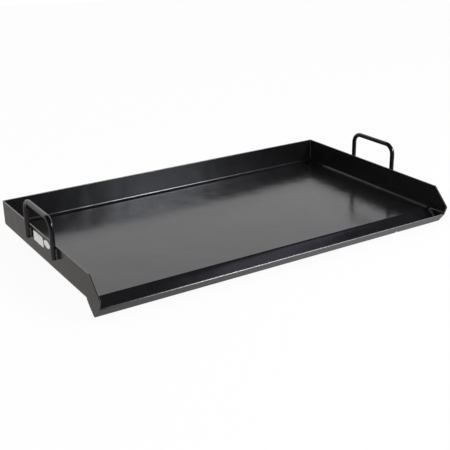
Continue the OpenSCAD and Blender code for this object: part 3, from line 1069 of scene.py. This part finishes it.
class GRIDDLE_OT_handles(bpy.types.Operator):
    """Build the two bent-bar handles"""
    bl_idname = "griddle.handles"
    bl_label = "Handles"

    def execute(self, context):
        scene = context.scene
        for side in SIDES:
            shell = bar_shell(*corners("handle_" + side), scene.griddle_handles)
            shell.piece("handle_bar_" + side, "handle_" + side, "handle_bar", finish(bar_coat))
        return {"FINISHED"}


class GRIDDLE_OT_welds(bpy.types.Operator):
    """Build the beads of the handles, the back corners, the trough and the floor"""
    bl_idname = "griddle.welds"
    bl_label = "Welds"

    def execute(self, context):
        scene = context.scene
        welds, sheet, section = scene.griddle_welds, scene.griddle_sheet, FrontSection(scene)
        for side, sign in SIDES.items():
            shells = {
                "handle_welds_": handle_weld_shell(*corners("handle_" + side), sign, welds),
                "corner_weld_": corner_weld_shell(sheet, sign, welds),
                "cap_welds_": cap_weld_shell(section, sign, welds),
            }
            for start, shell in shells.items():
                shell.piece("bead_" + start + side, start + side, "weld_bead", finish(weld_coat))
        floor_weld_shell(welds).piece("bead_floor_weld", "floor_weld", "weld_bead", finish(weld_coat))
        return {"FINISHED"}


class GRIDDLE_OT_rails(bpy.types.Operator):
    """Build the rails under the floor and their stitch welds"""
    bl_idname = "griddle.rails"
    bl_label = "Rails"

    def execute(self, context):
        scene = context.scene
        under, welds = scene.griddle_under, scene.griddle_welds
        nodes = ["front_rail", "rear_rail"]
        for node in nodes:
            shell = channel_shell(node, ALONG_X, under.rail_sheet, under)
            shell.piece(node + "_channel", node, "underside_steel", finish(under_coat))
        shell = stitch_weld_shell(nodes, ALONG_X, welds.rail_stitches, welds)
        shell.piece("bead_rail_welds", "rail_welds", "weld_bead", finish(weld_coat))
        return {"FINISHED"}


class GRIDDLE_OT_spreaders(bpy.types.Operator):
    """Build the heat spreaders under the floor and their stitch welds"""
    bl_idname = "griddle.spreaders"
    bl_label = "Heat spreaders"

    def execute(self, context):
        scene = context.scene
        under, welds = scene.griddle_under, scene.griddle_welds
        nodes = ["heat_spreader_" + side for side in SIDES]
        for node in nodes:
            shell = channel_shell(node, ALONG_Y, under.spreader_sheet, under)
            shell.piece(node + "_channel", node, "underside_steel", finish(under_coat))
        shell = stitch_weld_shell(nodes, ALONG_Y, welds.spreader_stitches, welds, seed=(SPREADER_SEED,))
        shell.piece("bead_spreader_welds", "spreader_welds", "weld_bead", finish(weld_coat))
        return {"FINISHED"}


class GRIDDLE_OT_labels(bpy.types.Operator):
    """Build the two blank labels on the left wall"""
    bl_idname = "griddle.labels"
    bl_label = "Labels"

    def execute(self, context):
        scene = context.scene
        labels = scene.griddle_labels
        square_label_shell(labels).piece("square_label_film", "square_label", "label", finish(label_film))
        oval_label_shell(labels).piece("oval_label_film", "oval_label", "label", finish(label_film))
        return {"FINISHED"}


def studio_floor(studio):
    """The pale floor, a flat grid of rings: x = r cos t and y = r sin t.

    The camera sees it nearly white with the object's shadow. Glossy and clear rays see its glow, with
    painted shade on the left, painted light to the right and the room's colour in front.
    """
    turn = np.linspace(0, FULL_TURN, FLOOR_SIDES, endpoint=False)
    radius = np.linspace(FLOOR_MIDDLE, 1, FLOOR_RINGS)[:, None] * studio.floor_radius
    level = np.zeros((FLOOR_RINGS, FLOOR_SIDES))
    shell = Shell()
    numbers = shell.add(np.stack([radius * np.cos(turn), radius * np.sin(turn), level], -1))
    shell.quads(numbers[::-1], closed=True)
    shell.cap(numbers[0])
    mesh = bpy.data.meshes.new("studio_floor")
    mesh.from_pydata(np.concatenate(shell.points), [], shell.faces)
    material = bpy.data.materials.new("studio_floor")
    camera = source(material, "ShaderNodeLightPath", "Is Camera Ray")
    mirrored = camera.beside("Is Glossy Ray") + camera.beside("Is Transmission Ray")
    seen = mirrored.math("MINIMUM", camera + mirrored, 1.0)
    position = camera.node("ShaderNodeTexCoord", {}, {}, "Object")
    across = position.node("ShaderNodeSeparateXYZ", {}, {0: position}, "X")
    # The glow that glossy rays see is a painted reflection: painted shade on the left, painted light to the
    # right
    painted_shade_ramp = across.step(*PAINTED_SHADE_X).blend(opaque(studio.floor_left), opaque(studio.floor_right))
    reflected = across.beside("Y").step(*FRONT_Y).blend(opaque(studio.room), painted_shade_ramp)
    pale = camera.node("ShaderNodeBsdfDiffuse", {}, {"Color": opaque(studio.floor)})
    glow = camera.node("ShaderNodeEmission", {}, {"Color": camera.blend(reflected, WHITE), "Strength": 1.0})
    camera.node("ShaderNodeMixShader", {}, {0: FLOOR_GLOW * seen, 1: pale, 2: glow}).show()
    material.cycles.emission_sampling = "NONE"
    mesh.materials.append(material)
    floor = bpy.data.objects.new("studio_floor", mesh)
    bpy.context.scene.collection.objects.link(floor)


def studio_world(studio):
    """White to the camera; mirrored, a white backdrop in a dim room; for all other rays an even light."""
    world = bpy.data.worlds.new("studio")
    direction = source(world, "ShaderNodeTexCoord", "Generated")
    camera = direction.node("ShaderNodeLightPath", {}, {}, "Is Camera Ray")
    mirrored = camera.beside("Is Glossy Ray") + camera.beside("Is Transmission Ray")
    height = direction.node("ShaderNodeSeparateXYZ", {}, {0: direction}, "Z")
    behind = direction.node("ShaderNodeVectorMath", {"operation": "DOT_PRODUCT"},
                            {0: direction, 1: studio.backdrop}, "Value")
    top = height + studio.backdrop_fall * height.beside("X")
    shown = (1 - top.step(*BACKDROP_TOP)) * behind.step(*BACKDROP_SIDE)
    room = height.step(*CEILING).blend(opaque(studio.room), opaque(studio.ceiling))
    room = shown.blend(room, opaque(studio.backdrop_colour))
    other = mirrored.math("MINIMUM", mirrored, 1.0).blend(opaque((studio.ambient,) * 3), room)
    camera.node("ShaderNodeBackground", {}, {"Color": camera.blend(other, WHITE), "Strength": 1.0}).show(
        "ShaderNodeOutputWorld")
    world.cycles.sampling_method = "NONE"
    bpy.context.scene.world = world


def facing(place, target):
    """A frame at a place whose -Z looks at a target with +Y upwards."""
    back = unit(np.subtract(place, target))
    right = unit(np.cross([0, 0, 1], back))
    return placed(place, right, np.cross(back, right), back)


def placed(place, right, up, back):
    """A frame from its place and its three axes."""
    matrix = np.eye(4)
    matrix[:3] = np.stack([right, up, back, place], 1)
    return Matrix(matrix.tolist())


def soft_light(studio, name):
    """A soft box of light that faces the back of the plate and isn't itself in the picture."""
    light = bpy.data.lights.new(name, "AREA")
    light.shape = "RECTANGLE"
    light.size, light.size_y = getattr(studio, name + "_width"), getattr(studio, name + "_height")
    light.energy = getattr(studio, name + "_watts")
    light.color = getattr(studio, name + "_colour")
    lamp = bpy.data.objects.new(name, light)
    lamp.matrix_world = facing(getattr(studio, name), (0.0, BACK_Y, COOK_Z))
    lamp.visible_camera = False
    bpy.context.scene.collection.objects.link(lamp)


def studio_camera(studio):
    """The camera, turned by yaw, then tilted down by pitch, then rolled about its own axis."""
    yaw, pitch, roll = studio.yaw, studio.pitch, studio.roll
    ahead = np.array([math.sin(yaw) * math.cos(pitch), math.cos(yaw) * math.cos(pitch), -math.sin(pitch)])
    level = np.array([math.cos(yaw), -math.sin(yaw), 0.0])
    upright = np.cross(level, ahead)
    right = math.cos(roll) * level + math.sin(roll) * upright
    up = math.cos(roll) * upright - math.sin(roll) * level
    data = bpy.data.cameras.new("camera")
    data.lens = studio.lens
    camera = bpy.data.objects.new("camera", data)
    camera.matrix_world = placed(studio.eye, right, up, -ahead)
    bpy.context.scene.collection.objects.link(camera)
    bpy.context.scene.camera = camera


class GRIDDLE_OT_stage(bpy.types.Operator):
    """Set up the floor, the light and the camera"""
    bl_idname = "griddle.stage"
    bl_label = "Stage"

    def execute(self, context):
        scene = context.scene
        studio = scene.griddle_studio
        studio_floor(studio)
        studio_world(studio)
        for name in ("key", "fill", "top"):
            soft_light(studio, name)
        studio_camera(studio)
        scene.view_settings.view_transform = "Standard"
        return {"FINISHED"}


GROUPS = {
    "griddle_sheet": SheetSizes,
    "griddle_trough": TroughSizes,
    "griddle_fronts": WallFrontSizes,
    "griddle_handles": HandleSizes,
    "griddle_welds": WeldSizes,
    "griddle_under": UndersideSizes,
    "griddle_labels": LabelSizes,
    "griddle_finishes": Finishes,
    "griddle_studio": StudioSizes,
}

STEPS = (
    GRIDDLE_OT_tray, GRIDDLE_OT_trough, GRIDDLE_OT_trough_caps, GRIDDLE_OT_handles, GRIDDLE_OT_welds,
    GRIDDLE_OT_rails, GRIDDLE_OT_spreaders, GRIDDLE_OT_labels, GRIDDLE_OT_stage,
)


class GRIDDLE_PT_panel(bpy.types.Panel):
    """Lists the sizes and colours, and the build steps in order"""
    bl_idname = "GRIDDLE_PT_panel"
    bl_label = "Griddle plate"
    bl_space_type = "VIEW_3D"
    bl_region_type = "UI"
    bl_category = "Griddle"

    def draw(self, context):
        for name, group in GROUPS.items():
            box = self.layout.box()
            box.label(text=group.__doc__)
            for size in group.__annotations__:
                box.prop(getattr(context.scene, name), size)
        for step in STEPS:
            self.layout.operator(step.bl_idname)


def register():
    for part in (*GROUPS.values(), *STEPS, GRIDDLE_PT_panel):
        bpy.utils.register_class(part)
    for name, group in GROUPS.items():
        setattr(bpy.types.Scene, name, PointerProperty(type=group))


def unregister():
    for name in GROUPS:
        delattr(bpy.types.Scene, name)
    for part in (GRIDDLE_PT_panel, *reversed(STEPS), *reversed(GROUPS.values())):
        bpy.utils.unregister_class(part)


def main():
    """Register the add-on and run its steps in order."""
    register()
    for step in STEPS:
        getattr(bpy.ops.griddle, step.bl_idname.split(".")[1])()


if __name__ == "__main__":
    main()
